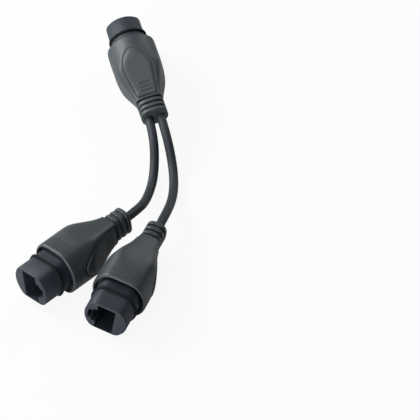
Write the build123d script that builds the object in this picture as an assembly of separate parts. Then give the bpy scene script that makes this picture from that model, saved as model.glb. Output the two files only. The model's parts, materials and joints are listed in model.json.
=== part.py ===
from build123d import *

import math
import os

# A two-way weatherproof network lead that brings two lines on to one.
# One combiner socket, two short cords and two branch sockets, all with the same moulded body.
# Each socket has a jack shell whose neck takes a standard 8-way plug, a contact insert with eight
# spring contacts, a seal ring, an inner moulding over the soldered cores and an outer moulded boot.
#
# Row frame: +Z up, the sockets lie on the plane z = 0, and the combiner's mouth faces +Y.
# Socket frame: the mouth centre is the origin, the mouth faces +Y, +Z is the latch side and
# a station is a distance from the mouth towards the tail.

# Neck of the jack shell
neck_radius = 8.2
neck_half_flats = 6.6
neck_corner = 0.8
mouth_chamfer = 0.45
shell_length = 22.0

# Standard 8-way plug opening
port_width = 11.9
port_height = 6.75
port_depth = 14.0
port_rise = 0.08
latch_step_width = 6.3
latch_step_depth = 1.6
latch_slot_width = 4.2
latch_slot_depth = 3.2

# Rear pocket of the jack shell and the flange that locks it into the boot
pocket_height = 8.4
pocket_side_wall = 0.65
flange_tail_gap = 2.8
flange_length = 1.6
flange_share = 0.8 / 2.2

# Seal ring in its groove round the neck
ring_station = 6.6
ring_section = 1.4
ring_proud = 0.62
ring_groove_clearance = 0.04

# Boot: collar, barrel and taper
boot_length = 46.5
collar_station = 12.0
collar_radius = 10.4
collar_flat_depth = 1.2
collar_corner = 1.6
collar_wall = 1.15
collar_edge_round = 0.9
recess_depth = 5.0
barrel_length = 12.0
barrel_mid_share = 8.5 / 15.2
barrel_mid_radius = 8.0
barrel_tail_radius = 5.9
width_flat_length = 8.5
width_mid_share = 10.0 / 18.7
width_mid = 7.4
height_flat_length = 4.5
height_mid_share = 13.5 / 22.7
height_mid = 6.6
tail_lean = 0.12

# Ribbed strain relief at the tail of the boot
relief_length = 7.3
twin_relief_half_width = 5.1
single_relief_half_width = 4.2
relief_half_height = 3.95
relief_corner = 3.6
relief_ribs = 3
relief_groove_width = 0.75
relief_groove_depth = 0.8
relief_edge_round = 0.35

# Finger pads on the latch side and on the opposite side of the boot
pad_foot_gap = 1.0
pad_straight_length = 11.2
pad_head_length = 8.4
pad_half_width = 5.3
pad_foot_half_width = 3.6
pad_proud = 0.3
pad_border = 0.45
pad_border_depth = 0.3
grip_lines = 3
grip_foot_gap = 1.9
grip_pitch = 1.65
grip_half_length = 2.45
grip_width = 0.5
grip_proud = 0.25

# Contact insert and its eight spring contacts
contact_ways = 8
contact_pitch = 1.02
contact_width = 0.5
contact_thickness = 0.3
contact_floor_gap = 0.03
contact_nose_station = 4.8
contact_nose_radius = 0.45
contact_rise_angle = 17.0
contact_free_station = 11.6
contact_tail = 3.0

# Inner moulding over the soldered cores
inner_half_width = 6.0
inner_half_height = 5.4
inner_corner = 1.6
inner_end_gap = 1.0
inner_end_half_width = 3.9
inner_end_half_height = 2.5

# Splitter board in the combiner
board_share = 8.0 / 16.2
board_half_width = 4.4
board_thickness = 1.2
board_corner = 0.6
board_core_rows = 0.42
board_core_pitch = 1.02

# Cords and their cores
cord_radius = 1.7
twin_cord_half_spacing = 2.15
core_radius = 0.27
core_ring_radius = 1.0
cord_lead_out = 6.6
cord_arc_share = 0.45

# Clearances, and how far a cut or a root runs past the face that it meets
mould_clearance = 0.03
slide_clearance = 0.05
core_end_gap = 0.12
floor_gap = 0.04
cut_overrun = 1.0

# Where the sockets lie: mouth centre, the way the mouth faces, and the tilt of the latch side
combiner_mouth = (28.81, 71.75)
combiner_heading = 90.0
combiner_tilt = -11.0
left_mouth = (-34.92, -44.93)
left_heading = 209.8
left_tilt = -81.0
right_mouth = (-13.03, -67.04)
right_heading = 232.5
right_tilt = 80.0

# The cords' loose points between the sockets, with each cord down on the surface in the middle
left_cord_points = [
    (23.6, 5.3, cord_radius + floor_gap),
    (18.0, -6.2, cord_radius + floor_gap),
]
right_cord_points = [
    (30.9, 5.8, cord_radius + floor_gap),
    (27.3, -8.2, cord_radius + floor_gap),
]


# Places that follow from the sizes above
insert_length = shell_length - port_depth
collar_half_width = collar_radius - collar_flat_depth
flange_height = flange_share * (collar_radius - neck_radius)
flange_station = shell_length - flange_tail_gap - flange_length
relief_station = boot_length - relief_length
barrel_end = collar_station + barrel_length
width_taper_station = collar_station + width_flat_length
height_taper_station = collar_station + height_flat_length
pad_foot_station = relief_station - pad_foot_gap
pad_wide_station = pad_foot_station - pad_straight_length
grip_last_station = pad_foot_station - grip_foot_gap
inner_end_station = relief_station - inner_end_gap
board_length = board_share * (inner_end_station - shell_length)
tail_station = shell_length + contact_tail


def station(distance):
    """Plane across the socket at a distance from its mouth, facing the tail, with +Z up."""
    return Plane(origin=(0, -distance, 0), x_dir=(1, 0, 0), z_dir=(0, -1, 0))


def prism(outline, start, end):
    """Straight form with this outline from one station to another."""
    return extrude(station(start) * outline, amount=end - start)


def flatted_circle(radius, half_flats, corner):
    """Round outline with a flat on each narrow side and eased corners."""
    outline = Circle(radius) & Rectangle(2 * half_flats, 4 * radius)
    return fillet(outline.vertices(), corner)


def neck_outline(grow=0.0):
    """Outline of the neck, grown or shrunk evenly."""
    return flatted_circle(neck_radius + grow, neck_half_flats + grow, neck_corner)


def port_outline():
    """Opening for an 8-way plug, with the stepped slot for its latch."""
    top = port_rise + port_height / 2
    opening = Pos(0, port_rise) * Rectangle(port_width, port_height)
    step_height = port_height / 2 + latch_step_depth
    slot_height = port_height / 2 + latch_slot_depth
    opening += Pos(0, top + latch_step_depth - step_height / 2) * Rectangle(latch_step_width, step_height)
    opening += Pos(0, top + latch_slot_depth - slot_height / 2) * Rectangle(latch_slot_width, slot_height)
    return opening


def port_floor():
    """Height of the opening's contact side."""
    return port_rise - port_height / 2


def pocket_outline(clearance=0.0):
    """Outline of the shell's rear pocket, or of the insert that fills it."""
    half_width = neck_half_flats - pocket_side_wall
    return Rectangle(2 * (half_width - clearance), pocket_height - 2 * clearance)


def ring_path():
    """Centre line of the seal ring round the neck."""
    centre_offset = ring_proud - ring_section / 2
    return (station(ring_station) * neck_outline(centre_offset)).faces()[0].outer_wire()


def jack_shell():
    """Jack shell: neck, plug opening, seal groove, locking flange and rear pocket."""
    shell = prism(neck_outline(), 0, shell_length)
    shell = chamfer(shell.faces().sort_by(Axis.Y)[-1].edges(), mouth_chamfer)
    shell += prism(neck_outline(flange_height), flange_station, flange_station + flange_length)
    groove_depth = ring_section - ring_proud + ring_groove_clearance
    groove_half = ring_section / 2 + ring_groove_clearance
    groove = prism(neck_outline(cut_overrun), ring_station - groove_half, ring_station + groove_half)
    groove -= prism(neck_outline(-groove_depth), ring_station - groove_half, ring_station + groove_half)
    shell -= groove
    shell -= prism(port_outline(), 0, port_depth)
    shell -= prism(pocket_outline(), port_depth, shell_length)
    return shell


def seal_ring():
    """Seal ring of round section, stretched into the neck's groove."""
    path = ring_path()
    section = Plane(origin=path @ 0, z_dir=path % 0) * Circle(ring_section / 2)
    return sweep(section, path=path)


def contact_height():
    """Height of the contacts' straight run along the floor of the opening."""
    return port_floor() + contact_floor_gap + contact_thickness / 2


def contact_places():
    """Sideways place of each contact."""
    return [(way - (contact_ways - 1) / 2) * contact_pitch for way in range(contact_ways)]


def one_contact():
    """Spring contact: tail, straight run, nose and the free end that rises into the opening."""
    half_angle = math.radians(contact_rise_angle / 2)
    corner_setback = contact_nose_radius / math.sin(half_angle) - contact_nose_radius
    corner_station = contact_nose_station - corner_setback
    rise = (contact_free_station - corner_station) * math.tan(math.radians(contact_rise_angle))
    height = contact_height()
    path = FilletPolyline(
        (0, -tail_station, height),
        (0, -corner_station, height),
        (0, -contact_free_station, height + rise),
        radius=contact_nose_radius,
    )
    across = Plane(origin=path @ 0, x_dir=(1, 0, 0), z_dir=path % 0)
    return sweep(across * Rectangle(contact_width, contact_thickness), path=path)


def contacts():
    """The eight spring contacts of one socket."""
    contact = one_contact()
    return [Pos(place, 0, 0) * contact for place in contact_places()]


def contact_insert():
    """Block that closes the opening and carries the contacts through their channels."""
    block = prism(pocket_outline(slide_clearance), port_depth, port_depth + insert_length)
    channel = Rectangle(contact_width + 2 * mould_clearance, contact_thickness + 2 * mould_clearance)
    for place in contact_places():
        block -= prism(Pos(place, contact_height()) * channel, port_depth, port_depth + insert_length)
    return block


def taper_face(collar_half, taper_from, mid_share, mid_half, tail_half):
    """Half outline of the boot beside its axis, from the collar's rim to the strain relief."""
    mid_station = taper_from + mid_share * (relief_station - taper_from)
    rim = Line((0, -collar_station), (collar_half - collar_edge_round, -collar_station))
    edge = RadiusArc(
        rim @ 1,
        (collar_half, -collar_station - collar_edge_round),
        -collar_edge_round,
    )
    barrel = Line(edge @ 1, (collar_half, -taper_from))
    taper = Spline(
        barrel @ 1,
        (mid_half, -mid_station),
        (tail_half, -relief_station),
        tangents=[(0, -1), (-tail_lean, -1)],
    )
    foot = Line(taper @ 1, (0, -relief_station))
    axis = Line(foot @ 1, rim @ 0)
    return make_face(rim + edge + barrel + taper + foot + axis)


def height_face(grow=0.0):
    """Half outline of the boot seen from its narrow side, which sets its finger pads."""
    return taper_face(
        collar_radius + grow,
        height_taper_station,
        height_mid_share,
        height_mid + grow,
        relief_half_height + grow,
    )


def height_form(grow=0.0):
    """The boot's height profile carried across its width."""
    upright = Plane(origin=(0, 0, 0), x_dir=(0, 0, 1), z_dir=(-1, 0, 0))
    half = extrude(upright * height_face(grow), amount=collar_radius * 2, both=True)
    return half + mirror(half, about=Plane.XY)


def relief_half_width(twin):
    """Half width of the strain relief, which is wider where two cords leave side by side."""
    return twin_relief_half_width if twin else single_relief_half_width


def barrel_form():
    """The boot's round body, turned about its axis."""
    face = taper_face(collar_radius, barrel_end, barrel_mid_share, barrel_mid_radius, barrel_tail_radius)
    return revolve(face, axis=Axis.Y)


def width_form(twin):
    """The boot's width profile carried through its height."""
    tail_half = relief_half_width(twin)
    face = taper_face(collar_half_width, width_taper_station, width_mid_share, width_mid, tail_half)
    half = extrude(face, amount=collar_radius * 2, both=True)
    return half + mirror(half, about=Plane.YZ)


def pad_outline(grow=0.0):
    """Round-headed outline of a finger pad, in plan."""
    wide = pad_half_width + grow
    foot = pad_foot_half_width + grow
    rise = pad_head_length + grow
    head = EllipticalCenterArc((0, -pad_wide_station), wide, rise, start_angle=0, arc_size=180)
    left = Line(head @ 1, (-foot, -pad_foot_station - grow))
    base = Line(left @ 1, (foot, -pad_foot_station - grow))
    right = Line(base @ 1, head @ 0)
    return make_face(head + left + base + right)


def both_sides(form):
    """The form and its mirror image on the side away from the latch."""
    return form + mirror(form, about=Plane.XY)


def pad_column(grow=0.0):
    """The pad's outline carried from the axis out past the boot on the latch side."""
    return extrude(pad_outline(grow), amount=collar_radius * 2)


def grip_column():
    """The grip lines near the pad's foot, carried from the axis out past the boot."""
    bars = [
        Pos(0, -grip_last_station + line * grip_pitch) * SlotOverall(2 * grip_half_length, grip_width)
        for line in range(grip_lines)
    ]
    return extrude(Sketch() + bars, amount=collar_radius * 2)


def finger_pads():
    """The two raised pads with their grip lines, as thin layers over the boot's height profile."""
    base = height_form(-pad_border_depth)
    pads = pad_column() & (height_form(pad_proud) - base)
    lines = grip_column() & (height_form(pad_proud + grip_proud) - base)
    return both_sides((pads + lines) & barrel_form())


def pad_borders():
    """The shallow border cut round each finger pad."""
    return both_sides(pad_column(pad_border) - pad_column()) - height_form(-pad_border_depth)


def strain_relief(twin):
    """Ribbed oval sleeve that eases the cord's bend where it leaves the boot."""
    half_width = relief_half_width(twin)
    core = RectangleRounded(
        2 * (half_width - relief_groove_depth),
        2 * (relief_half_height - relief_groove_depth),
        relief_corner - relief_groove_depth,
    )
    sleeve = prism(core, relief_station - cut_overrun, boot_length)
    rib_length = (boot_length - relief_station) / relief_ribs - relief_groove_width
    rib_outline = RectangleRounded(2 * half_width, 2 * relief_half_height, relief_corner)
    for rib in range(relief_ribs):
        start = relief_station + relief_groove_width + rib * (rib_length + relief_groove_width)
        solid_rib = prism(rib_outline, start, start + rib_length)
        ends = solid_rib.faces().filter_by(Axis.Y).edges()
        sleeve += fillet(ends, relief_edge_round)
    return sleeve


def inner_outline(half_width, half_height, grow):
    """Rounded outline of the inner moulding at one end."""
    return RectangleRounded(2 * (half_width + grow), 2 * (half_height + grow), inner_corner)


def inner_form(grow=0.0):
    """Tapered form of the inner moulding, or of the space for it in the boot."""
    front_gap = mould_clearance if grow == 0 else 0
    front = inner_outline(inner_half_width, inner_half_height, grow)
    back = inner_outline(inner_end_half_width, inner_end_half_height, grow)
    return loft([station(shell_length + front_gap) * front, station(inner_end_station + grow) * back])


def cord_places(twin):
    """Sideways place of each cord in the strain relief."""
    if twin:
        return [-twin_cord_half_spacing, twin_cord_half_spacing]
    return [0.0]


def boot_inside(twin):
    """Spaces in the boot: recess round the neck, jack shell, inner moulding and cord bores."""
    recess = flatted_circle(collar_radius - collar_wall, collar_half_width - collar_wall, collar_corner)
    flange_start = flange_station - mould_clearance
    flange_end = flange_station + flange_length + mould_clearance
    space = prism(recess, collar_station - cut_overrun, collar_station + recess_depth)
    space += prism(neck_outline(mould_clearance), collar_station, shell_length)
    space += prism(neck_outline(flange_height + mould_clearance), flange_start, flange_end)
    space += inner_form(mould_clearance)
    bore = Circle(cord_radius + slide_clearance)
    for place in cord_places(twin):
        space += prism(Pos(place, 0) * bore, inner_end_station, boot_length + cut_overrun)
    return space


def boot(twin):
    """Outer moulded boot: collar, barrel, taper, finger pads and strain relief."""
    form = barrel_form() & width_form(twin) & height_form()
    form += strain_relief(twin)
    form -= boot_inside(twin)
    form -= pad_borders()
    return form + finger_pads()


def rod(start, end, radius):
    """Round rod between two points."""
    direction = Vector(*end) - Vector(*start)
    axis = Plane(origin=start, z_dir=direction)
    return axis * Cylinder(radius, direction.length, align=(Align.CENTER, Align.CENTER, Align.MIN))


def core_ring(cord_place):
    """The cores' places in a cord's end, the upper ones first, each half from left to right."""
    step = 360 / contact_ways
    upper = [math.radians(180 - step * (index + 0.5)) for index in range(contact_ways // 2)]
    places = []
    for sign in (1, -1):
        for angle in upper:
            across = cord_place + core_ring_radius * math.cos(angle)
            places.append((across, sign * core_ring_radius * math.sin(angle)))
    return places


def branch_core_ends():
    """Station and places where a branch's cores meet the contact tails, the upper cores first."""
    tails = contact_places()
    height = contact_height()
    distance = tail_station + core_end_gap
    return distance, [(place, height) for place in tails[1::2] + tails[0::2]]


def board_core_ends(cord_place):
    """Station and places where a cord's cores meet the splitter board, the upper cores first."""
    half_ways = contact_ways // 2
    side = 1 if cord_place > 0 else -1
    centre = side * half_ways / 2 * board_core_pitch
    columns = [centre + (way - (half_ways - 1) / 2) * board_core_pitch for way in range(half_ways)]
    middle = board_bottom() + board_thickness / 2
    upper = [(column, middle + board_core_rows) for column in columns]
    lower = [(column, middle - board_core_rows) for column in columns]
    return board_start() + board_length + core_end_gap, upper + lower


def cores(twin, radius=core_radius):
    """Insulated cores from each cord's end to the contact tails or to the splitter board."""
    rods = []
    for place in cord_places(twin):
        distance, ends = board_core_ends(place) if twin else branch_core_ends()
        for (start_x, start_z), (end_x, end_z) in zip(core_ring(place), ends):
            start = (start_x, -inner_end_station + core_end_gap, start_z)
            rods.append(rod(start, (end_x, -distance, end_z), radius))
    return rods


def board_start():
    """Station of the splitter board's front edge."""
    return port_depth + insert_length + mould_clearance


def board_bottom():
    """Height of the splitter board's underside, where the contact tails are soldered."""
    return contact_height() + contact_thickness / 2 + mould_clearance


def splitter_board(grow=0.0):
    """Small board that joins the two cords' pairs to the combiner's contacts."""
    outline = Pos(0, -board_start() - board_length / 2) * RectangleRounded(
        2 * (board_half_width + grow), board_length + 2 * grow, board_corner
    )
    plate = extrude(outline, amount=board_thickness + 2 * grow)
    return Pos(0, 0, board_bottom() - grow) * plate


def inner_moulding(twin):
    """Inner moulding that holds the contact tails, the cores and, in the combiner, the board."""
    form = inner_form()
    tail = Rectangle(contact_width + 2 * mould_clearance, contact_thickness + 2 * mould_clearance)
    for place in contact_places():
        form -= prism(Pos(place, contact_height()) * tail, shell_length, tail_station + core_end_gap)
    for channel in cores(twin, core_radius + mould_clearance):
        form -= channel
    if twin:
        form -= splitter_board(mould_clearance)
    return form


def facing(heading):
    """Unit vector in plan that points out of a socket's mouth."""
    return Vector(math.cos(math.radians(heading)), math.sin(math.radians(heading)), 0)


def socket_plane(mouth, height, heading, tilt):
    """Frame of a socket: mouth centre as origin, mouth along +Y, latch side along +Z."""
    out = facing(heading)
    sideways = out.cross(Vector(0, 0, 1))
    lean = math.radians(tilt)
    latch_side = Vector(0, 0, 1) * math.cos(lean) + sideways * math.sin(lean)
    return Plane(origin=(mouth[0], mouth[1], height), x_dir=out.cross(latch_side), z_dir=latch_side)


def resting_height(boot_form, heading, tilt):
    """Height of the socket's axis when its collar lies on the surface."""
    turned = socket_plane((0, 0), 0, heading, tilt).location * boot_form
    return -turned.bounding_box().min.Z


def point_on(plane, place, distance):
    """Point of a socket at a sideways place on its mid-plane, at a distance from its mouth."""
    return plane.from_local_coords(Vector(place, -distance, 0))


def cord_route(start_plane, start_place, loose_points, end_plane):
    """A cord's points: inside the combiner, its exit, the loose points and inside the branch."""
    return [
        point_on(start_plane, start_place, inner_end_station + core_end_gap),
        point_on(start_plane, start_place, boot_length + cord_lead_out),
        *[Vector(*point) for point in loose_points],
        point_on(end_plane, 0, boot_length + cord_lead_out),
        point_on(end_plane, 0, inner_end_station + core_end_gap),
    ]


def cord(name, points):
    """Cord as straight runs joined by arcs as large as the runs allow."""
    radii = []
    for before, corner, after in zip(points, points[1:], points[2:]):
        first_run = corner - before
        second_run = after - corner
        half_turn = math.radians(first_run.get_angle(second_run) / 2)
        shorter = min(first_run.length, second_run.length)
        radii.append(cord_arc_share * shorter / math.tan(half_turn))
    path = FilletPolyline(*points, radius=radii)
    section = Plane(origin=path @ 0, z_dir=path % 0) * Circle(cord_radius)
    tube = sweep(section, path=path)
    expected = math.pi * cord_radius**2 * path.length
    print(name, "radii", [round(radius, 1) for radius in radii], "length", round(path.length, 1))
    print(name, "volume", round(tube.volume, 1), "section times length", round(expected, 1))
    print(name, "points", [tuple(round(value, 2) for value in point) for point in points])
    return tube


def save(name, shape):
    """Write one sub-part, or one group of like solids, as a STEP file."""
    if isinstance(shape, list):
        shape = Compound(children=shape)
    export_step(shape, f"parts/{name}.step")


def socket_pieces(twin):
    """Every piece of one socket, in the socket's own frame."""
    return {
        "boot": boot(twin),
        "jack_shell": jack_shell(),
        "seal_ring": seal_ring(),
        "contact_insert": contact_insert(),
        "contacts": contacts(),
        "inner_moulding": inner_moulding(twin),
        "cores": cores(twin),
    }


def place_socket(name, pieces, plane):
    """Move one socket's pieces to where it lies and write them."""
    for piece_name, shape in pieces.items():
        if isinstance(shape, list):
            save(f"{name}_{piece_name}", [plane.location * one for one in shape])
        else:
            save(f"{name}_{piece_name}", plane.location * shape)


def main():
    """Build the lead and write every sub-part."""
    os.makedirs("parts", exist_ok=True)
    combiner_pieces = socket_pieces(twin=True)
    combiner_pieces["splitter_board"] = splitter_board()
    branch_pieces = socket_pieces(twin=False)
    planes = {}
    for name, pieces, mouth, heading, tilt in (
        ("combiner", combiner_pieces, combiner_mouth, combiner_heading, combiner_tilt),
        ("left_branch", branch_pieces, left_mouth, left_heading, left_tilt),
        ("right_branch", branch_pieces, right_mouth, right_heading, right_tilt),
    ):
        height = resting_height(pieces["boot"], heading, tilt)
        planes[name] = socket_plane(mouth, height, heading, tilt)
        place_socket(name, pieces, planes[name])
        print(name, "axis height", round(height, 3))
    near, far = cord_places(twin=True)
    left_route = cord_route(planes["combiner"], near, left_cord_points, planes["left_branch"])
    right_route = cord_route(planes["combiner"], far, right_cord_points, planes["right_branch"])
    save("left_cord", cord("left_cord", left_route))
    save("right_cord", cord("right_cord", right_route))


main()
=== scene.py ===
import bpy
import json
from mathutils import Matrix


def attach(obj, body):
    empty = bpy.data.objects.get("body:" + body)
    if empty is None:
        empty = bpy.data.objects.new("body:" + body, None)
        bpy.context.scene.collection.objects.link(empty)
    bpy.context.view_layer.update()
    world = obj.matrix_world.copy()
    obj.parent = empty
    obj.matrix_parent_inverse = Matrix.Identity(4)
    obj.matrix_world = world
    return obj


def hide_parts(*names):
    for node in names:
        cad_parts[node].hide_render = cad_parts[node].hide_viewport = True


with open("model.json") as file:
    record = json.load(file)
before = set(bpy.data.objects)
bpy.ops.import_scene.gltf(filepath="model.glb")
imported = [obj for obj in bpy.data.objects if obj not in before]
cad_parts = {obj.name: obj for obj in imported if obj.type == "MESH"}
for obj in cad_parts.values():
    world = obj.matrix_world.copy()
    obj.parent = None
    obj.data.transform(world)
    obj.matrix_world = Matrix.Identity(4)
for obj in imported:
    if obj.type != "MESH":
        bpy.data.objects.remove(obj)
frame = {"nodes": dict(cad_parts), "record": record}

"""Looks of a weatherproof network lead: a combiner socket, two short cords and two branch sockets."""

import json
import logging
import math
from dataclasses import dataclass, field
from enum import Enum

import bmesh
import bpy
from mathutils import Matrix, Vector

LOG = logging.getLogger("network_lead")

Tree = bpy.types.NodeTree
Node = bpy.types.Node
Output = bpy.types.NodeSocket

ROOT_BODY = "root"
MM = 0.001
# Keeps a ray that runs along a straight side from a division by nought
LEAST_SHARE = 1e-6
# The sRGB curve: full value of a channel, straight foot up to the knee, then a power curve
SRGB_FULL = 255
SRGB_KNEE = 0.04045
SRGB_FOOT = 12.92
SRGB_OFFSET = 0.055
SRGB_POWER = 2.4


# Shared helpers


def mm(*values: float) -> tuple:
    """Turn millimetres into metres.

    Args:
        values: Lengths or coordinates in millimetres.

    Returns:
        The same values in metres.
    """
    return tuple(value * MM for value in values)


def linear(hex_colour: str) -> tuple:
    """Turn an sRGB hex colour into the linear colour that a shader socket takes.

    Args:
        hex_colour: Six hex digits, with or without a leading hash.

    Returns:
        Linear red, green, blue and an alpha of one.
    """
    digits = hex_colour.lstrip("#")
    channels = []
    for start in (0, 2, 4):
        value = int(digits[start:start + 2], base=16) / SRGB_FULL
        curve = ((value + SRGB_OFFSET) / (1 + SRGB_OFFSET)) ** SRGB_POWER
        channels.append(value / SRGB_FOOT if value <= SRGB_KNEE else curve)
    return (*channels, 1.0)


def per_metre(size_mm: float) -> float:
    """Texture scale that makes one feature of a pattern this many millimetres wide."""
    return 1.0 / (size_mm * MM)


def add_node(
    tree: Tree,
    kind: str,
    settings: dict | None = None,
    values: dict | None = None,
    links: dict | None = None,
) -> Node:
    """Add a node with its settings, constant inputs and incoming links.

    Args:
        tree: Node tree that gets the node.
        kind: Blender's type name of the node.
        settings: Node properties to set.
        values: Constant values by input name or number.
        links: Output sockets to link, by input name or number.

    Returns:
        The new node.
    """
    node = tree.nodes.new(kind)
    for name, value in (settings or {}).items():
        setattr(node, name, value)
    for name, value in (values or {}).items():
        node.inputs[name].default_value = value
    for name, output in (links or {}).items():
        tree.links.new(output, node.inputs[name])
    return node


def set_ramp(node: Node, stops: list) -> None:
    """Give a colour ramp its stops.

    Args:
        node: Colour ramp node.
        stops: Position and linear colour of each stop, in order.
    """
    ramp = node.color_ramp
    while len(ramp.elements) > len(stops):
        ramp.elements.remove(ramp.elements[-1])
    while len(ramp.elements) < len(stops):
        ramp.elements.new(1.0)
    for element, (position, colour) in zip(ramp.elements, stops):
        element.position = position
        element.color = colour


def empty_tree(owner: bpy.types.Material | bpy.types.World) -> Tree:
    """Switch on the nodes of a material or a world, and clear them.

    Args:
        owner: The material or the world.

    Returns:
        Its empty node tree.
    """
    owner.use_nodes = True
    owner.node_tree.nodes.clear()
    return owner.node_tree


def add_object(name: str, data: bpy.types.ID) -> bpy.types.Object:
    """Put a new object in the scene.

    Args:
        name: Name of the object.
        data: Its mesh, curve, lamp or camera.

    Returns:
        The object.
    """
    thing = bpy.data.objects.new(name, data)
    bpy.context.scene.collection.objects.link(thing)
    return thing


def dress_node(node_name: str, material: bpy.types.Material) -> None:
    """Give a CAD node its finish.

    Args:
        node_name: Name of the CAD node.
        material: Finish for all of it.
    """
    node = frame["nodes"][node_name]
    for material_slot in node.material_slots:
        material_slot.material = material
    LOG.info("dressed %s with %s", node_name, material.name)


def soft_min(first: float, second: float, blend: float) -> float:
    """Smaller of two lengths, eased into a round where they are close.

    Args:
        first: One length.
        second: The other length.
        blend: Difference below which the round begins.

    Returns:
        The eased length.
    """
    near = max(blend - abs(first - second), 0.0) / blend
    return min(first, second) - near * near * blend / 4


def ease(value: float) -> float:
    """Smooth step from nought to one."""
    share = min(max(value, 0.0), 1.0)
    return share * share * (3 - 2 * share)


def exit_length(half: float, share: float) -> float:
    """Distance along a ray to a straight side, from the side's distance and the ray's share towards it."""
    return half / max(abs(share), LEAST_SHARE)


def ring_at(station: float, angles: list, reach: list) -> list:
    """Points of one ring round a socket's axis.

    Args:
        station: Distance behind the mouth.
        angles: Direction of each point.
        reach: Distance of each point from the axis.

    Returns:
        The points in the socket's own millimetres.
    """
    return [
        (length * math.cos(angle), -station, length * math.sin(angle))
        for angle, length in zip(angles, reach)
    ]


def quarter_turn(steps: int) -> list:
    """Angles of a quarter turn in even steps, both ends included."""
    return [math.pi / 2 * step / steps for step in range(steps + 1)]


def aim(thing: bpy.types.Object, target: Vector, azimuth: float, elevation: float, distance: float) -> None:
    """Place a lamp or the camera round its target and turn it there.

    Args:
        thing: The lamp or camera.
        target: Point that it faces, in metres.
        azimuth: Degrees round the target, with 0 at the front.
        elevation: Degrees above the horizon.
        distance: Metres from the target.
    """
    turn, rise = math.radians(azimuth), math.radians(elevation)
    back = Vector((math.sin(turn) * math.cos(rise), -math.cos(turn) * math.cos(rise), math.sin(rise)))
    thing.location = target + back * distance
    thing.rotation_euler = back.to_track_quat("Z", "Y").to_euler()


@dataclass
class Skin:
    """Points and faces of one piece, gathered in the socket's own millimetres."""

    points: list = field(default_factory=list)
    faces: list = field(default_factory=list)

    def add_rings(self, rings: list, loop: bool = False) -> None:
        """Join rings of points, each with the next.

        Args:
            rings: Rings of as many points each, in order.
            loop: Join the last ring to the first, instead of closing both ends.
        """
        start, count = len(self.points), len(rings[0])
        for ring in rings:
            self.points.extend(ring)
        rows = len(rings) if loop else len(rings) - 1
        for row in range(rows):
            below = start + row * count
            above = start + (row + 1) % len(rings) * count
            for column in range(count):
                beside = (column + 1) % count
                self.faces.append((below + column, below + beside, above + beside, above + column))
        if not loop:
            self.close(start, count)
            self.close(start + (len(rings) - 1) * count, count)

    def close(self, first: int, count: int) -> None:
        """Close a ring with a fan round its middle.

        Args:
            first: Number of the ring's first point.
            count: How many points the ring has.
        """
        ring = self.points[first:first + count]
        self.points.append(tuple(sum(values) / count for values in zip(*ring)))
        tip = len(self.points) - 1
        for column in range(count):
            self.faces.append((first + column, first + (column + 1) % count, tip))

    def add_slab(self, top: list, bottom: list) -> None:
        """Join two grids of points into a closed slab.

        Args:
            top: Rows of points of the upper side.
            bottom: Rows of points of the lower side, as many as the upper.
        """
        start, rows, columns = len(self.points), len(top), len(top[0])
        for grid in (top, bottom):
            for row in grid:
                self.points.extend(row)
        under = rows * columns
        for row in range(rows - 1):
            for column in range(columns - 1):
                corner = start + row * columns + column
                quad = (corner, corner + 1, corner + columns + 1, corner + columns)
                self.faces.append(quad)
                self.faces.append(tuple(number + under for number in quad))
        rim = [start + column for column in range(columns)]
        rim += [start + row * columns + columns - 1 for row in range(1, rows)]
        rim += [start + (rows - 1) * columns + column for column in range(columns - 2, -1, -1)]
        rim += [start + row * columns for row in range(rows - 2, 0, -1)]
        for number, after in zip(rim, rim[1:] + rim[:1]):
            self.faces.append((number, after, after + under, number + under))

    def make(self, name: str, place: Matrix, sharp_degrees: float) -> bpy.types.Object:
        """Make the piece where its socket lies.

        Args:
            name: Name of the piece.
            place: The socket's frame, in metres.
            sharp_degrees: Faces that meet at more than this keep a hard edge.

        Returns:
            The new object.
        """
        work = bmesh.new()
        corners = [work.verts.new(place @ Vector(mm(*point))) for point in self.points]
        for face in self.faces:
            work.faces.new([corners[number] for number in face]).smooth = True
        bmesh.ops.recalc_face_normals(work, faces=work.faces)
        mesh = bpy.data.meshes.new(f"{name}_mesh")
        work.to_mesh(mesh)
        work.free()
        mesh.set_sharp_from_angle(angle=math.radians(sharp_degrees))
        return add_object(name, mesh)


def stand_for(piece: bpy.types.Object, node_name: str, material: bpy.types.Material) -> None:
    """Dress a piece and let it stand for a CAD node.

    Args:
        piece: The finished piece.
        node_name: The CAD node that it replaces.
        material: Its finish.
    """
    piece.data.materials.append(material)
    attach(piece, ROOT_BODY)
    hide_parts(node_name)
    LOG.info("built %s", piece.name)


# Finishes


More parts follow.
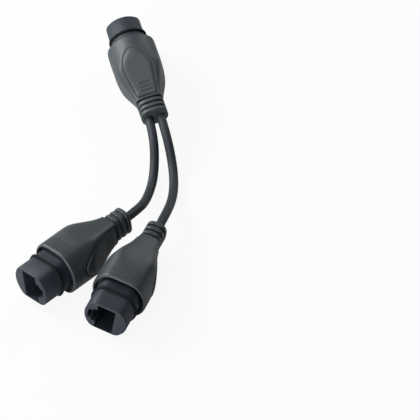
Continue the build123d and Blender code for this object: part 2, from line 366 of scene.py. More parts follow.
@dataclass(frozen=True)
class Finish:
    """What all finishes share: a name, a colour, a second colour it drifts to, gloss and grain."""

    name: str
    colour: str
    second_colour: str
    ior: float
    roughness: float
    grain_mm: float
    grain_depth_mm: float
    roughness_spread: float = 0.03
    drift_mm: float = 8.0
    specular: float = 0.5
    metallic: float = 0.0
    # Layers of finer noise and their share of it, in the drift and in the grain
    drift_layers: float = 4.0
    drift_layer_share: float = 0.55
    grain_layers: float = 3.0
    grain_layer_share: float = 0.6
    # Noise values between which colour and gloss go from one end to the other
    drift_limits: tuple = (0.3, 0.7)

    def start(self) -> tuple:
        """Make the material with its output and its main shader.

        Returns:
            The material, its node tree, its main shader and its object coordinates.
        """
        material = bpy.data.materials.new(self.name)
        tree = empty_tree(material)
        shader = add_node(
            tree,
            "ShaderNodeBsdfPrincipled",
            values={
                "Metallic": self.metallic,
                "IOR": self.ior,
                "Roughness": self.roughness,
                "Specular IOR Level": self.specular,
            },
        )
        add_node(tree, "ShaderNodeOutputMaterial", links={"Surface": shader.outputs["BSDF"]})
        place = add_node(tree, "ShaderNodeTexCoord").outputs["Object"]
        return material, tree, shader, place

    def add_drift(self, tree: Tree, shader: Node, place: Output) -> None:
        """Let colour and gloss drift slowly over the surface, as resin and handling make them.

        Args:
            tree: The material's node tree.
            shader: Its main shader.
            place: Object coordinates.
        """
        low, high = self.drift_limits
        cloud = add_node(
            tree,
            "ShaderNodeTexNoise",
            values={
                "Scale": per_metre(self.drift_mm),
                "Detail": self.drift_layers,
                "Roughness": self.drift_layer_share,
            },
            links={"Vector": place},
        )
        ramp = add_node(tree, "ShaderNodeValToRGB", links={"Fac": cloud.outputs["Fac"]})
        set_ramp(ramp, [(low, linear(self.colour)), (high, linear(self.second_colour))])
        tree.links.new(ramp.outputs["Color"], shader.inputs["Base Color"])
        gloss = add_node(
            tree,
            "ShaderNodeMapRange",
            values={
                "From Min": low,
                "From Max": high,
                "To Min": self.roughness - self.roughness_spread,
                "To Max": self.roughness + self.roughness_spread,
            },
            links={"Value": cloud.outputs["Fac"]},
        )
        tree.links.new(gloss.outputs["Result"], shader.inputs["Roughness"])

    def add_grain(self, tree: Tree, shader: Node, place: Output) -> None:
        """Raise the fine moulded or drawn grain.

        Args:
            tree: The material's node tree.
            shader: Its main shader.
            place: Object coordinates.
        """
        grain = add_node(
            tree,
            "ShaderNodeTexNoise",
            values={
                "Scale": per_metre(self.grain_mm),
                "Detail": self.grain_layers,
                "Roughness": self.grain_layer_share,
            },
            links={"Vector": place},
        )
        bump = add_node(
            tree,
            "ShaderNodeBump",
            values={"Strength": 1.0, "Distance": self.grain_depth_mm * MM},
            links={"Height": grain.outputs["Fac"]},
        )
        tree.links.new(bump.outputs["Normal"], shader.inputs["Normal"])

    def build(self) -> bpy.types.Material:
        """Make the finish.

        Returns:
            The material with slow drift and fine grain.
        """
        material, tree, shader, place = self.start()
        self.add_drift(tree, shader, place)
        self.add_grain(tree, shader, place)
        return material


@dataclass(frozen=True)
class PebbledJacket(Finish):
    """Extruded vinyl with a fine pebbled surface, as on a flexible outdoor cord."""

    pebble_softness: float = 0.6

    def add_grain(self, tree: Tree, shader: Node, place: Output) -> None:
        """Raise rounded pebbles with narrow valleys between them.

        Args:
            tree: The material's node tree.
            shader: Its main shader.
            place: Object coordinates.
        """
        pebbles = add_node(
            tree,
            "ShaderNodeTexVoronoi",
            settings={"feature": "SMOOTH_F1"},
            values={"Scale": per_metre(self.grain_mm), "Smoothness": self.pebble_softness},
            links={"Vector": place},
        )
        bump = add_node(
            tree,
            "ShaderNodeBump",
            settings={"invert": True},
            values={"Strength": 1.0, "Distance": self.grain_depth_mm * MM},
            links={"Height": pebbles.outputs["Distance"]},
        )
        tree.links.new(bump.outputs["Normal"], shader.inputs["Normal"])


@dataclass(frozen=True)
class CoreInsulation(Finish):
    """Solid polyethylene over the copper, each core in its own colour."""

    other_colours: tuple = ("#2b4f9e", "#6b432a", "#d8d4c8")

    def add_drift(self, tree: Tree, shader: Node, place: Output) -> None:
        """Colour each core as a piece of its own.

        Args:
            tree: The material's node tree.
            shader: Its main shader.
            place: Object coordinates, not used here.
        """
        island = add_node(tree, "ShaderNodeNewGeometry").outputs["Random Per Island"]
        ramp = add_node(tree, "ShaderNodeValToRGB", links={"Fac": island})
        ramp.color_ramp.interpolation = "CONSTANT"
        colours = (self.colour, self.second_colour, *self.other_colours)
        count = len(colours)
        set_ramp(ramp, [(index / count, linear(colour)) for index, colour in enumerate(colours)])
        tree.links.new(ramp.outputs["Color"], shader.inputs["Base Color"])


@dataclass(frozen=True)
class BoardLaminate(Finish):
    """Green solder resist over woven glass laminate."""

    weave_mm: float = 0.5

    def add_drift(self, tree: Tree, shader: Node, place: Output) -> None:
        """Let the glass cloth show faintly through the resist.

        Args:
            tree: The material's node tree.
            shader: Its main shader.
            place: Object coordinates.
        """
        cloth = add_node(
            tree,
            "ShaderNodeTexChecker",
            values={
                "Scale": per_metre(self.weave_mm),
                "Color1": linear(self.colour),
                "Color2": linear(self.second_colour),
            },
            links={"Vector": place},
        )
        tree.links.new(cloth.outputs["Color"], shader.inputs["Base Color"])


class Part(Enum):
    """The kinds of piece that a socket is made of, by the end of their node names."""

    BOOT = "boot"
    JACK_SHELL = "jack_shell"
    SEAL_RING = "seal_ring"
    CONTACT_INSERT = "contact_insert"
    CONTACTS = "contacts"
    INNER_MOULDING = "inner_moulding"
    CORES = "cores"
    SPLITTER_BOARD = "splitter_board"
    CORD = "cord"


FINISHES = {
    # Flexible PVC moulded in a spark-eroded tool: satin, with broad soft highlights. Its grain of about
    # 0.1 mm is drawn at 0.5 mm because it is too fine to show.
    Part.BOOT: Finish(
        name="moulded_flexible_pvc",
        colour="#2b3338",
        second_colour="#323a3f",
        ior=1.53,
        specular=0.48,
        roughness=0.48,
        roughness_spread=0.04,
        drift_mm=14.0,
        grain_mm=0.5,
        grain_depth_mm=0.010,
    ),
    # Glass-filled PBT moulded in a plain tool: bluish, darker and duller than the boot. Its skin of about
    # 0.1 mm is drawn at 0.4 mm because it is too fine to show.
    Part.JACK_SHELL: Finish(
        name="moulded_glass_filled_pbt",
        colour="#1d252f",
        second_colour="#232b35",
        ior=1.57,
        specular=0.34,
        roughness=0.58,
        drift_mm=10.0,
        grain_mm=0.4,
        grain_depth_mm=0.006,
    ),
    # Moulded EPDM: nearly black, with a dull sheen that spreads each highlight.
    Part.SEAL_RING: Finish(
        name="moulded_epdm_rubber",
        colour="#0e1114",
        second_colour="#131619",
        ior=1.50,
        specular=0.12,
        roughness=0.66,
        roughness_spread=0.04,
        drift_mm=6.0,
        grain_mm=0.15,
        grain_depth_mm=0.008,
    ),
    # Moulded PBT inside the opening: black and plain, so that the contacts stand out.
    Part.CONTACT_INSERT: Finish(
        name="moulded_pbt",
        colour="#17181a",
        second_colour="#1c1d1f",
        ior=1.57,
        roughness=0.50,
        drift_mm=8.0,
        grain_mm=0.18,
        grain_depth_mm=0.006,
    ),
    # Gold-plated phosphor bronze: rolled strip with a warm sheen.
    Part.CONTACTS: Finish(
        name="gold_plated_bronze",
        colour="#d9b465",
        second_colour="#e2c27a",
        ior=1.50,
        metallic=1.0,
        roughness=0.28,
        roughness_spread=0.05,
        drift_mm=3.0,
        grain_mm=0.12,
        grain_depth_mm=0.002,
    ),
    # Low-pressure moulded polyamide: dull amber-black, slightly uneven.
    Part.INNER_MOULDING: Finish(
        name="moulded_polyamide",
        colour="#2a2622",
        second_colour="#332d27",
        ior=1.52,
        roughness=0.60,
        roughness_spread=0.05,
        drift_mm=5.0,
        grain_mm=0.30,
        grain_depth_mm=0.010,
    ),
    # Extruded polyethylene: smooth and slightly waxy, in bright colours that tell the cores apart.
    Part.CORES: CoreInsulation(
        name="extruded_polyethylene",
        colour="#d9731f",
        second_colour="#2f7d3c",
        ior=1.51,
        roughness=0.35,
        grain_mm=0.10,
        grain_depth_mm=0.002,
    ),
    # Solder resist on glass epoxy: glossy green, with the cloth showing faintly through it.
    Part.SPLITTER_BOARD: BoardLaminate(
        name="glass_epoxy_laminate",
        colour="#1a4f2c",
        second_colour="#1f5a33",
        ior=1.55,
        roughness=0.35,
        grain_mm=0.25,
        grain_depth_mm=0.003,
    ),
    # Extruded PVC jacket with a pebbled skin of about 0.3 mm, which breaks each highlight into fine points.
    # It is drawn at 0.6 mm because it is too fine to show.
    Part.CORD: PebbledJacket(
        name="extruded_pvc_jacket",
        colour="#242a30",
        second_colour="#2a3036",
        ior=1.53,
        specular=0.28,
        roughness=0.54,
        roughness_spread=0.04,
        drift_mm=9.0,
        grain_mm=0.6,
        grain_depth_mm=0.040,
    ),
}


# Sub-assemblies


@dataclass
class Neck:
    """Jack shell of a socket: round neck with two flats, plug opening and seal groove, in millimetres."""

    radius: float = 8.2
    half_flats: float = 6.6
    corner_blend: float = 1.0
    length: float = 22.0
    mouth_chamfer: float = 0.6
    chamfer_middle_share: float = 1 / 3
    opening_edge: float = 0.15
    opening_floor: float = -3.295
    # Half width and height of the plug opening and of the two steps of its latch slot
    opening_steps: tuple = ((5.95, 3.455), (3.15, 5.055), (2.1, 6.655))
    ring_station: float = 8.0
    ring_section: float = 1.3
    ring_proud: float = 0.72
    # Points of each ring before those at the opening's corners, and of the seal's round section, and the
    # decimals to which two angles are the same
    even_angles: int = 144
    section_angles: int = 14
    angle_digits: int = 5

    def outline(self, angle: float, grow: float = 0.0) -> float:
        """Distance from the axis to the neck's outline in one direction."""
        flat = exit_length(self.half_flats + grow, math.cos(angle))
        return soft_min(self.radius + grow, flat, self.corner_blend)

    def opening(self, angle: float) -> float:
        """Distance from the axis to the wall of the plug opening.

        Args:
            angle: Direction round the axis.

        Returns:
            The distance in that direction.
        """
        across, up = math.cos(angle), math.sin(angle)
        reach = 0.0
        for half_width, height in self.opening_steps:
            limit = height if up > 0 else -self.opening_floor
            reach = max(reach, min(exit_length(half_width, across), exit_length(limit, up)))
        return reach

    def angles(self) -> list:
        """Choose the directions of the points of each ring.

        Returns:
            Even directions, and one at every corner of the opening.
        """
        chosen = [2 * math.pi * number / self.even_angles for number in range(self.even_angles)]
        corners = [(self.opening_steps[0][0], self.opening_floor)]
        corners += list(self.opening_steps)
        corners += [(narrow[0], wide[1]) for wide, narrow in zip(self.opening_steps, self.opening_steps[1:])]
        for across, up in corners:
            chosen += [math.atan2(up, across) % (2 * math.pi), math.atan2(up, -across) % (2 * math.pi)]
        return sorted({round(angle, self.angle_digits) for angle in chosen})

    def ring(self, station: float, reach: list) -> list:
        """Points of one ring at a station, from their distances to the axis."""
        return ring_at(station, self.angles(), reach)

    def build_shell(self) -> Skin:
        """Make the neck with its opening.

        Returns:
            The shell's skin.
        """
        angles = self.angles()
        outer = [self.outline(angle) for angle in angles]
        inner = [self.opening(angle) for angle in angles]
        half_groove = self.ring_section / 2
        chamfer_middle = self.mouth_chamfer * self.chamfer_middle_share
        depth = self.ring_section - self.ring_proud
        floor = [length - depth for length in outer]
        start, end = self.ring_station - half_groove, self.ring_station + half_groove
        skin = Skin()
        skin.add_rings(
            [
                self.ring(self.length, inner),
                self.ring(self.opening_edge, inner),
                self.ring(0.0, [length + self.opening_edge for length in inner]),
                self.ring(0.0, [length - self.mouth_chamfer for length in outer]),
                self.ring(chamfer_middle, [length - chamfer_middle for length in outer]),
                self.ring(self.mouth_chamfer, outer),
                self.ring(start, outer),
                self.ring(start, floor),
                self.ring(end, floor),
                self.ring(end, outer),
                self.ring(self.length, outer),
            ],
            loop=True,
        )
        return skin

    def build_seal(self) -> Skin:
        """Make the seal ring in its groove.

        Returns:
            The ring's skin.
        """
        radius = self.ring_section / 2
        rings = []
        for number in range(self.section_angles):
            turn = 2 * math.pi * number / self.section_angles
            lift = self.ring_proud - radius + radius * math.cos(turn)
            reach = [self.outline(angle, lift) for angle in self.angles()]
            rings.append(self.ring(self.ring_station + radius * math.sin(turn), reach))
        skin = Skin()
        skin.add_rings(rings, loop=True)
        return skin


@dataclass
class Taper:
    """Half size of the boot along its length: straight, then an easy curve down to the strain relief."""

    start: float
    start_half: float
    mid_share: float
    mid_half: float
    tail_half: float
    tail: float = 39.2
    tail_lean: float = 0.12

    def at(self, station: float) -> float:
        """Half size on a smooth curve through the start, the middle and the tail.

        Args:
            station: Distance behind the mouth.

        Returns:
            The half size there.
        """
        if station <= self.start:
            return self.start_half
        middle = self.start + self.mid_share * (self.tail - self.start)
        first, second = middle - self.start, self.tail - middle
        first_fall = (self.mid_half - self.start_half) / first
        second_fall = (self.tail_half - self.mid_half) / second
        both = 3 * (second * first_fall + first * second_fall)
        slope = (both + first * self.tail_lean) / (2 * (first + second))
        if station < middle:
            share = (station - self.start) / first
            return self.curve(share, first, self.start_half, 0.0, self.mid_half, slope)
        share = (station - middle) / second
        return self.curve(share, second, self.mid_half, slope, self.tail_half, -self.tail_lean)

    @staticmethod
    def curve(
        share: float,
        run: float,
        begin: float,
        begin_slope: float,
        end: float,
        end_slope: float,
    ) -> float:
        """Cubic between two half sizes with a slope at each.

        Args:
            share: Share of the run, from nought to one.
            run: Length of the run.
            begin: Half size where it begins.
            begin_slope: Slope there.
            end: Half size where it ends.
            end_slope: Slope there.

        Returns:
            The half size at that share of the run.
        """
        square, cube = share**2, share**3
        lean = (cube - 2 * square + share) * run * begin_slope + (cube - square) * run * end_slope
        return (2 * cube - 3 * square + 1) * begin + (3 * square - 2 * cube) * end + lean


@dataclass
class Boot:
    """Outer moulding of a socket, with rounded shoulders, fluted collar and raised finger pads."""

    neck: Neck
    neck_clearance: float = 0.02
    # Collar with its rounded rim, and the open recess between it and the neck
    collar_station: float = 12.0
    collar_half_width: float = 9.2
    collar_radius: float = 10.4
    collar_wall: float = 0.8
    rim_length: float = 0.9
    rim_height: float = 0.81
    rim_steps: int = 6
    recess_depth: float = 3.0
    recess_blend: float = 1.0
    recess_chamfer: float = 0.25
    recess_lip: tuple = (0.05, 0.08)
    floor_station: float = 22.2
    # Barrel and the two side profiles that cut it
    barrel: Taper = field(default_factory=lambda: Taper(24.0, 10.4, 0.56, 7.85, 5.9))
    width: Taper = field(default_factory=lambda: Taper(20.5, 9.2, 0.52, 7.4, 5.1))
    height: Taper = field(default_factory=lambda: Taper(15.5, 11.6, 0.6, 6.6, 3.95))
    flat_blend: float = 1.3
    shoulder_blend: float = 1.8
    body_step: float = 0.34
    arc_angles: int = 58
    # Flutes of the collar, cut only where its skin faces sideways
    flutes: int = 13
    flute_pitch: float = 0.95
    flute_depth: float = 0.13
    flute_start: float = 13.0
    flute_end: float = 18.9
    flute_fade: float = 0.5
    flute_points: int = 4
    flute_bottom_share: float = 0.1
    flute_facing: float = 0.7
    # Strain relief with its ribs
    relief_station: float = 39.2
    tail_station: float = 46.5
    relief_half: tuple = (5.1, 3.95)
    relief_ribs: int = 3
    relief_groove: float = 0.85
    relief_groove_depth: float = 0.85
    relief_groove_lip: float = 0.02
    relief_round: float = 0.4
    relief_round_steps: int = 4
    relief_power: float = 2.9
    # Finger pads: outline, edge and the border cut round them where the skin faces up or down
    pad_top: float = 18.6
    pad_wide: float = 27.0
    pad_foot: float = 38.2
    pad_half: float = 5.3
    pad_foot_half: float = 3.6
    pad_proud: float = 0.28
    pad_rise: float = 24.2
    pad_rise_length: float = 6.0
    pad_edge_width: float = 0.3
    pad_edge_fall: float = 0.25
    pad_head_steepness: float = 2.0
    pad_root: float = 0.9
    pad_blend: float = 0.8
    pad_border: float = 0.5
    pad_border_depth: float = 0.32
    pad_border_slope: float = 0.35
    pad_facing: float = 0.3
    # Where the pad's points lie: rows of its head, its body and its foot, then columns from the edge inwards
    pad_head_rows: int = 22
    pad_row_step: float = 0.5
    pad_foot_rows: tuple = (0.25, 0.1, 0.0)
    pad_edge_columns: tuple = (0.0, 0.05, 0.14, 0.3)
    pad_column_shares: tuple = (1.0, 0.98, 0.94, 0.88, 0.75, 0.6, 0.5, 0.44, 0.3, 0.15)
    # Grip lines: half widths of their crest and of their foot
    grip_lines: int = 3
    grip_last: float = 36.3
    grip_pitch: float = 1.65
    grip_half: float = 2.45
    grip_proud: float = 0.25
    grip_crest: float = 0.16
    grip_foot: float = 0.3
    grip_end_fade: float = 0.3

    def angles(self) -> list:
        """Choose the directions of the points of each ring.

        Returns:
            Directions close enough for the flutes on the sides, and even ones on the arcs between.
        """
        steps = (self.flutes + 1) * self.flute_points // 2
        spacing = self.flute_pitch / self.flute_points
        side = [math.atan2(step * spacing, self.collar_half_width) for step in range(-steps, steps + 1)]
        gap = math.pi - 2 * side[-1]
        arc = [side[-1] + gap * number / self.arc_angles for number in range(1, self.arc_angles)]
        half_ring = side + arc
        return half_ring + [angle + math.pi for angle in half_ring]

    def body(self, angle: float, station: float) -> float:
        """Distance from the axis to the boot's skin, before its flutes and pad borders.

        Args:
            angle: Direction round the axis.
            station: Distance behind the mouth.

        Returns:
            The distance at that point.
        """
        across, up = math.cos(angle), math.sin(angle)
        side = exit_length(self.width.at(station), across)
        top = exit_length(self.height.at(station), up)
        reach = soft_min(self.barrel.at(station), side, self.flat_blend)
        return soft_min(reach, top, self.shoulder_blend)

    def flute(self, angle: float, station: float) -> float:
        """Depth of the flutes at a point of the collar.

        Args:
            angle: Direction round the axis.
            station: Distance behind the mouth.

        Returns:
            The depth there, nought between the flutes.
        """
        place = self.collar_half_width * math.tan(angle) / self.flute_pitch
        last = (self.flutes - 1) / 2 + self.flute_bottom_share
        if abs(math.cos(angle)) < self.flute_facing or abs(place) > last:
            return 0.0
        if abs(place - round(place)) >= self.flute_bottom_share:
            return 0.0
        start = ease((station - self.flute_start) / self.flute_fade)
        end = ease((self.flute_end - station) / self.flute_fade)
        return self.flute_depth * start * end

    def pad_half_at(self, station: float) -> float:
        """Half width of a finger pad.

        Args:
            station: Distance behind the mouth.

        Returns:
            The half width there, round at the head and straight towards the foot.
        """
        if station < self.pad_wide:
            share = (self.pad_wide - station) / (self.pad_wide - self.pad_top)
            return self.pad_half * math.sqrt(max(1 - share**2, 0.0))
        share = (station - self.pad_wide) / (self.pad_foot - self.pad_wide)
        return self.pad_half + (self.pad_foot_half - self.pad_half) * share

    def border(self, across: float, station: float) -> float:
        """Depth of the shallow border round the pads.

        Args:
            across: Distance from the pad's middle line.
            station: Distance behind the mouth.

        Returns:
            The depth there, nought outside the border.
        """
        top, foot = self.pad_top - self.pad_border, self.pad_foot + self.pad_border
        if not top < station < foot:
            return 0.0
        if station < self.pad_wide:
            share = (self.pad_wide - station) / (self.pad_wide - top)
            half = (self.pad_half + self.pad_border) * math.sqrt(1 - share**2)
        else:
            half = self.pad_half_at(min(station, self.pad_foot)) + self.pad_border
        inside = min(half - abs(across), foot - station)
        return self.pad_border_depth * ease(inside / self.pad_border_slope)

    def ring(self, station: float, reach: list) -> list:
        """Points of one ring at a station, from their distances to the axis."""
        return ring_at(station, self.angles(), reach)

    def body_ring(self, station: float, inset: float = 0.0) -> list:
        """One ring of the boot's skin with its flutes and pad borders.

        Args:
            station: Distance behind the mouth.
            inset: How far the ring lies inside the skin.

        Returns:
            The ring's points.
        """
        reach = []
        for angle in self.angles():
            length = self.body(angle, station)
            cut = self.flute(angle, station)
            if abs(math.sin(angle)) > self.pad_facing:
                cut += self.border(length * math.cos(angle), station)
            reach.append(length - cut - inset)
        return self.ring(station, reach)

    def relief_ring(self, station: float, inset: float) -> list:
        """One ring of the strain relief, a rounded oval.

        Args:
            station: Distance behind the mouth.
            inset: How far the ring lies inside the ribs' outline.

        Returns:
            The ring's points.
        """
        half_width, half_height = (half - inset for half in self.relief_half)
        reach = []
        for angle in self.angles():
            across = (abs(math.cos(angle)) / half_width) ** self.relief_power
            up = (abs(math.sin(angle)) / half_height) ** self.relief_power
            reach.append((across + up) ** (-1 / self.relief_power))
        return self.ring(station, reach)

    def front_rings(self) -> list:
        """Make the rings from the floor behind the neck, over the recess, to the rounded rim.

        Returns:
            The rings in order.
        """
        angles = self.angles()
        bore = [self.neck.outline(angle, self.neck_clearance) for angle in angles]
        radius, half_width = self.collar_radius - self.collar_wall, self.collar_half_width - self.collar_wall
        flats = [exit_length(half_width, math.cos(angle)) for angle in angles]
        recess = [soft_min(radius, flat, self.recess_blend) for flat in flats]
        front, bottom = self.collar_station, self.collar_station + self.recess_depth
        lip_station, lip_height = self.recess_lip
        rings = [
            self.ring(self.floor_station, bore),
            self.ring(bottom, bore),
            self.ring(bottom, [length - self.recess_chamfer for length in recess]),
            self.ring(bottom - self.recess_chamfer, recess),
            self.ring(front + self.recess_chamfer, recess),
            self.ring(front + lip_station, [length + lip_height for length in recess]),
        ]
        for turn in quarter_turn(self.rim_steps):
            station = front + self.rim_length * (1 - math.cos(turn))
            rings.append(self.body_ring(station, self.rim_height * (1 - math.sin(turn))))
        return rings

    def relief_rings(self) -> list:
        """Make the rings of the strain relief's grooves and rounded ribs.

        Returns:
            The rings in order.
        """
        pitch = (self.tail_station - self.relief_station) / self.relief_ribs
        turns = quarter_turn(self.relief_round_steps)
        rings = []
        for rib in range(self.relief_ribs):
            start = self.relief_station + rib * pitch
            first, last = start + self.relief_groove, start + pitch
            for station in (start + self.relief_groove_lip, first):
                rings.append(self.relief_ring(station, self.relief_groove_depth))
            for turn in turns:
                station = first + self.relief_round * (1 - math.cos(turn))
                rings.append(self.relief_ring(station, self.relief_round * (1 - math.sin(turn))))
            for turn in turns:
                station = last - self.relief_round * (1 - math.sin(turn))
                rings.append(self.relief_ring(station, self.relief_round * (1 - math.cos(turn))))
        return rings

    def grip_stations(self) -> list:
        """Stations of the middles of the grip lines, from the pad's foot towards its head."""
        return [self.grip_last - line * self.grip_pitch for line in range(self.grip_lines)]

    def pad_rows(self) -> list:
        """Choose the stations of a pad's rows.

        Returns:
            Stations in order, close together at the head and at each grip line.
        """
        head = self.pad_wide - self.pad_top
        rows = [self.pad_wide - head * math.cos(turn) for turn in quarter_turn(self.pad_head_rows)[1:-1]]
        count = int((self.pad_foot - self.pad_wide) / self.pad_row_step)
        rows += [self.pad_wide + self.pad_row_step * number for number in range(count)]
        for middle in self.grip_stations():
            for off in (self.grip_crest, self.grip_foot):
                rows += [middle - off, middle + off]
        rows += [self.pad_foot - off for off in self.pad_foot_rows]
        return sorted(rows)

    def pad_columns(self, half: float) -> list:
        """Choose how far from the middle line the points of a row lie.

        Args:
            half: Half width of the pad at the row.

        Returns:
            Distances from one edge to the other, close together at both edges.
        """
        edges = len(self.pad_edge_columns)
        pairs = zip(self.pad_edge_columns, self.pad_column_shares)
        one_side = [max(half - edge, half * share) for edge, share in pairs]
        one_side += [half * share for share in self.pad_column_shares[edges:]]
        return [-value for value in one_side] + [0.0] + one_side[::-1]

    def pad_height(self, across: float, station: float) -> float:
        """Height of the boot's skin above the axis under a point of a pad."""
        barrel = math.sqrt(max(self.barrel.at(station) ** 2 - across**2, 0.0))
        return soft_min(self.height.at(station), barrel, self.pad_blend)

    def grip(self, across: float, station: float) -> float:
        """Share of the grip lines' height at a point of a pad.

        Args:
            across: Distance from the pad's middle line.
            station: Distance behind the mouth.

        Returns:
            One on a line's crest, nought between the lines.
        """
        ends = ease((self.grip_half - abs(across)) / self.grip_end_fade)
        for middle in self.grip_stations():
            off = abs(station - middle)
            if off < self.grip_foot:
                return ends * ease((self.grip_foot - off) / (self.grip_foot - self.grip_crest))
        return 0.0

    def pad_lift(self, across: float, station: float) -> float:
        """Height of a pad above the boot's skin.

        Args:
            across: Distance from the pad's middle line.
            station: Distance behind the mouth.

        Returns:
            The height there, with the pad's falling edge and its grip lines.
        """
        beside = self.pad_half_at(station) - abs(across)
        inside = min(beside, self.pad_foot - station, (station - self.pad_top) * self.pad_head_steepness)
        lift = self.pad_proud * ease((station - self.pad_rise) / self.pad_rise_length)
        lift -= self.pad_edge_fall * (1 - ease(inside / self.pad_edge_width))
        return lift + self.grip_proud * self.grip(across, station)

    def add_pad(self, skin: Skin, side: int) -> None:
        """Add one finger pad with its grip lines.

        Args:
            skin: The boot's skin.
            side: One for the latch side, minus one for the other.
        """
        top, bottom = [], []
        for station in self.pad_rows():
            upper, lower = [], []
            for across in self.pad_columns(self.pad_half_at(station)):
                height = self.pad_height(across, station)
                upper.append((across, -station, side * (height + self.pad_lift(across, station))))
                lower.append((across, -station, side * (height - self.pad_root)))
            top.append(upper)
            bottom.append(lower)
        skin.add_slab(top, bottom)

    def build(self) -> Skin:
        """Make the boot with both its pads.

        Returns:
            The boot's skin.
        """
        rings = self.front_rings()
        first = self.collar_station + self.rim_length
        steps = round((self.relief_station - first) / self.body_step)
        for step in range(1, steps + 1):
            rings.append(self.body_ring(first + (self.relief_station - first) * step / steps))
        rings += self.relief_rings()
        skin = Skin()
        skin.add_rings(rings)
        for side in (1, -1):
            self.add_pad(skin, side)
        return skin


@dataclass
class Socket:
    """One moulded socket. Its inner solids come from the CAD frame as they are."""

    name: str
    neck: Neck = field(default_factory=Neck)
    inner_parts: tuple = (Part.CONTACT_INSERT, Part.CONTACTS, Part.INNER_MOULDING, Part.CORES)
    # Degrees past which two faces of a piece meet at a hard edge
    boot_edge: float = 50.0
    neck_edge: float = 28.0
    seal_edge: float = 60.0

    def place(self) -> Matrix:
        """Find where the socket lies, from the record's mounts.

        Returns:
            The socket's frame: mouth along +Y, latch side along +Z, origin in the middle of the mouth.
        """
        mounts = {mount["name"]: mount for mount in frame["record"]["mounts"]}
        opening = mounts[f"{self.name}_plug_opening"]
        middle = Vector(opening["pos_m"])
        out = Vector(opening["axis"]).normalized()
        latch = (middle - Vector(mounts[f"{self.name}_mouth_face"]["pos_m"])).normalized()
        turn = Matrix((out.cross(latch), out, latch)).transposed().to_4x4()
        return Matrix.Translation(middle) @ turn

    def build(self, materials: dict) -> None:
        """Make the socket's outer pieces and dress all of it.

        Args:
            materials: Material of each kind of piece.
        """
        place = self.place()
        boot = Boot(self.neck).build().make(f"{self.name}_boot_skin", place, self.boot_edge)
        stand_for(boot, f"{self.name}_boot", materials[Part.BOOT])
        shell = self.neck.build_shell().make(f"{self.name}_neck", place, self.neck_edge)
        stand_for(shell, f"{self.name}_jack_shell", materials[Part.JACK_SHELL])
        seal = self.neck.build_seal().make(f"{self.name}_seal", place, self.seal_edge)
        stand_for(seal, f"{self.name}_seal_ring", materials[Part.SEAL_RING])
        for part in self.inner_parts:
            dress_node(f"{self.name}_{part.value}", materials[part])


@dataclass
class Cord:
    """A round cord that lies loose between the combiner and one branch."""

    name: str
    points_mm: list
    exit_mm: tuple
    length_mm: float
    diameter_mm: float = 3.4
    section_steps: int = 12
    run_steps: int = 24
    spline_order: int = 3

    def build(self) -> bpy.types.Object:
        """Make the cord as a smooth spline with a round section.

        Returns:
            The curve object, named for the cord.
        """
        curve = bpy.data.curves.new(f"{self.name}_line", "CURVE")
        curve.dimensions = "3D"
        curve.bevel_depth = self.diameter_mm * MM / 2
        curve.bevel_resolution = self.section_steps
        curve.use_fill_caps = True
        spline = curve.splines.new("NURBS")
        spline.points.add(len(self.points_mm) - 1)
        for control, point in zip(spline.points, self.points_mm):
            control.co = (*mm(*point), 1.0)
        spline.order_u = self.spline_order
        spline.use_endpoint_u = True
        spline.resolution_u = self.run_steps
        return add_object(f"{self.name}_jacket", curve)

    def dress(self, piece: bpy.types.Object, material: bpy.types.Material) -> None:
        """Args:
            piece: The curve object.
            material: Finish of the jacket.
        """
        piece.data.materials.append(material)
        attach(piece, ROOT_BODY)
        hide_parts(self.name)
        LOG.info("built %s", piece.name)


@dataclass(frozen=True)
class Lamp:
    """One soft rectangular lamp, aimed at the object. Angles in degrees, sizes in metres, power in watts."""

    name: str
    azimuth: float
    elevation: float
    power: float
    width: float = 0.6
    height: float = 0.5
    distance: float = 0.9
    target: tuple = (0.0, 0.0, 0.01)

    def hang(self) -> None:
        """Hang the lamp at its place."""
        data = bpy.data.lights.new(self.name, "AREA")
        data.shape = "RECTANGLE"
        data.size = self.width
        data.size_y = self.height
        data.energy = self.power
        lamp = add_object(self.name, data)
        aim(lamp, Vector(self.target), self.azimuth, self.elevation, self.distance)


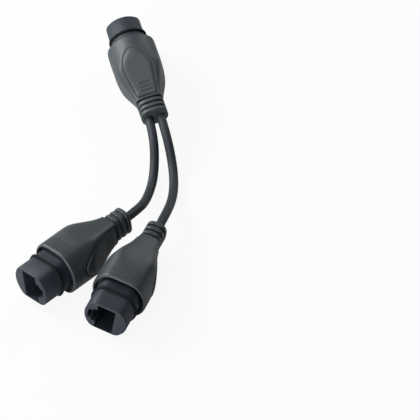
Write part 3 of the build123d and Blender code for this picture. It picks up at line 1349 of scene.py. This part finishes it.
@dataclass
class Studio:
    """Plain pale floor, soft lamps, white surroundings and the photograph's camera."""

    # Camera
    target_mm: tuple = (38.92, -16.22, 0.0)
    azimuth: float = -14.81
    elevation: float = 47.03
    distance_mm: float = 1525.38
    focal_pixels: float = 4167.0
    picture_pixels: float = 420.0
    sensor_mm: float = 36.0
    clip_near: float = 0.05
    clip_far: float = 50.0
    # Floor: how much of its own shading shows, and how white it looks in gloss
    floor_side: float = 8.0
    floor_colour: str = "#d8d8d8"
    floor_shadow_share: float = 0.09
    floor_gloss_share: float = 0.12
    # Room: full strength at the horizon and the fill above it, bright on one side and dim on the other
    world_colour: str = "#ffffff"
    world_fill: float = 0.14
    world_gloss_share: float = 0.08
    horizon_rise: tuple = (0.06, 0.2)
    bright_side: tuple = (-0.95, 0.3, 0.0)
    side_limits: tuple = (-0.2, 0.8)
    dark_side_share: float = 0.05
    lamps: tuple = (
        Lamp("key_softbox", -134.0, 36.0, 10.0),
        Lamp("top_softbox", -60.0, 75.0, 2.0, width=0.5),
        Lamp("front_softbox", -48.0, 12.0, 6.5, width=0.5, height=0.3),
        Lamp("right_softbox", 130.0, 30.0, 2.0, width=0.5, height=0.4),
    )

    def build_camera(self) -> None:
        """Set the camera at the photograph's viewing angle."""
        data = bpy.data.cameras.new("camera")
        data.sensor_width = self.sensor_mm
        data.lens = self.sensor_mm * self.focal_pixels / self.picture_pixels
        data.clip_start = self.clip_near
        data.clip_end = self.clip_far
        camera = add_object("camera", data)
        target = Vector(mm(*self.target_mm))
        aim(camera, target, self.azimuth, self.elevation, self.distance_mm * MM)
        bpy.context.scene.camera = camera

    @staticmethod
    def seen_or_mirrored(tree: Tree, gloss_share: float) -> Output:
        """Light Path weight for rays from the camera, through glass and from gloss.

        Args:
            tree: Node tree of the floor or the world.
            gloss_share: Weight of a ray from gloss.

        Returns:
            One for a ray from the camera or through glass, the gloss share for one from gloss, else zero.
        """
        path = add_node(tree, "ShaderNodeLightPath")
        gloss = add_node(
            tree,
            "ShaderNodeMath",
            settings={"operation": "MULTIPLY"},
            values={1: gloss_share},
            links={0: path.outputs["Is Glossy Ray"]},
        )
        first = add_node(
            tree,
            "ShaderNodeMath",
            settings={"operation": "MAXIMUM"},
            links={0: path.outputs["Is Camera Ray"], 1: gloss.outputs[0]},
        )
        return add_node(
            tree,
            "ShaderNodeMath",
            settings={"operation": "MAXIMUM"},
            links={0: first.outputs[0], 1: path.outputs["Is Transmission Ray"]},
        ).outputs[0]

    def build_floor(self) -> None:
        """Lay a pale floor that shows white and keeps a soft shadow."""
        half = self.floor_side / 2
        mesh = bpy.data.meshes.new("floor")
        corners = [(-half, -half, 0), (half, -half, 0), (half, half, 0), (-half, half, 0)]
        mesh.from_pydata(corners, [], [(0, 1, 2, 3)])
        floor = add_object("floor", mesh)
        material = bpy.data.materials.new("matt_white_card")
        tree = empty_tree(material)
        card = add_node(tree, "ShaderNodeBsdfDiffuse", values={"Color": linear(self.floor_colour)})
        glow = add_node(tree, "ShaderNodeEmission", values={"Color": (1, 1, 1, 1), "Strength": 1.0})
        share = add_node(
            tree,
            "ShaderNodeMath",
            settings={"operation": "MULTIPLY"},
            values={1: 1.0 - self.floor_shadow_share},
            links={0: self.seen_or_mirrored(tree, self.floor_gloss_share)},
        )
        mix = add_node(
            tree,
            "ShaderNodeMixShader",
            links={0: share.outputs[0], 1: card.outputs[0], 2: glow.outputs[0]},
        )
        add_node(tree, "ShaderNodeOutputMaterial", links={"Surface": mix.outputs[0]})
        mesh.materials.append(material)

    def build_world(self) -> None:
        """Surround the object with a dim white room whose far edge is bright."""
        world = bpy.data.worlds.new("white_room")
        tree = empty_tree(world)
        place = add_node(tree, "ShaderNodeTexCoord").outputs["Generated"]
        height = add_node(tree, "ShaderNodeSeparateXYZ", links={"Vector": place}).outputs["Z"]
        low, high = self.horizon_rise
        side_low, side_high = self.side_limits
        strength = add_node(
            tree,
            "ShaderNodeMapRange",
            values={"From Min": low, "From Max": high, "To Min": 1.0, "To Max": self.world_fill},
            links={"Value": height},
        )
        facing = add_node(
            tree,
            "ShaderNodeVectorMath",
            settings={"operation": "DOT_PRODUCT"},
            values={1: self.bright_side},
            links={0: place},
        ).outputs["Value"]
        side = add_node(
            tree,
            "ShaderNodeMapRange",
            values={
                "From Min": side_low,
                "From Max": side_high,
                "To Min": self.dark_side_share,
                "To Max": 1.0,
            },
            links={"Value": facing},
        )
        light = add_node(
            tree,
            "ShaderNodeMath",
            settings={"operation": "MULTIPLY"},
            links={0: strength.outputs["Result"], 1: side.outputs["Result"]},
        )
        shown = add_node(
            tree,
            "ShaderNodeMath",
            settings={"operation": "MAXIMUM"},
            links={0: light.outputs[0], 1: self.seen_or_mirrored(tree, self.world_gloss_share)},
        )
        background = add_node(
            tree,
            "ShaderNodeBackground",
            values={"Color": linear(self.world_colour)},
            links={"Strength": shown.outputs[0]},
        )
        add_node(tree, "ShaderNodeOutputWorld", links={"Surface": background.outputs[0]})
        bpy.context.scene.world = world

    def build(self) -> None:
        """Set up everything round the object."""
        bpy.context.scene.view_settings.view_transform = "Standard"
        self.build_camera()
        self.build_floor()
        self.build_world()
        for lamp in self.lamps:
            lamp.hang()


CORDS = [
    Cord(
        "left_cord",
        [
            (26.7, 33.43, 9.99),
            (26.7, 18.65, 9.99),
            (23.6, 5.3, 1.74),
            (18.0, -6.2, 1.74),
            (11.16, -18.54, 9.85),
            (-1.67, -25.89, 9.85),
        ],
        (26.7, 25.25, 9.99),
        73.0,
    ),
    Cord(
        "right_cord",
        [
            (30.92, 33.43, 10.81),
            (30.92, 18.65, 10.81),
            (30.9, 5.8, 1.74),
            (27.3, -8.2, 1.74),
            (19.3, -24.91, 9.9),
            (10.3, -36.64, 9.9),
        ],
        (30.92, 25.25, 10.81),
        78.6,
    ),
]


def main() -> None:
    """Build the studio, the cords and the sockets' finishes, in that order."""
    logging.basicConfig(level=logging.INFO, format="%(message)s")
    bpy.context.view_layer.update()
    Studio().build()
    materials = {part: finish.build() for part, finish in FINISHES.items()}
    for cord in CORDS:
        cord.dress(cord.build(), materials[Part.CORD])
    for name in ("combiner", "left_branch", "right_branch"):
        Socket(name).build(materials)
    dress_node("combiner_splitter_board", materials[Part.SPLITTER_BOARD])


if __name__ == "__main__":
    main()
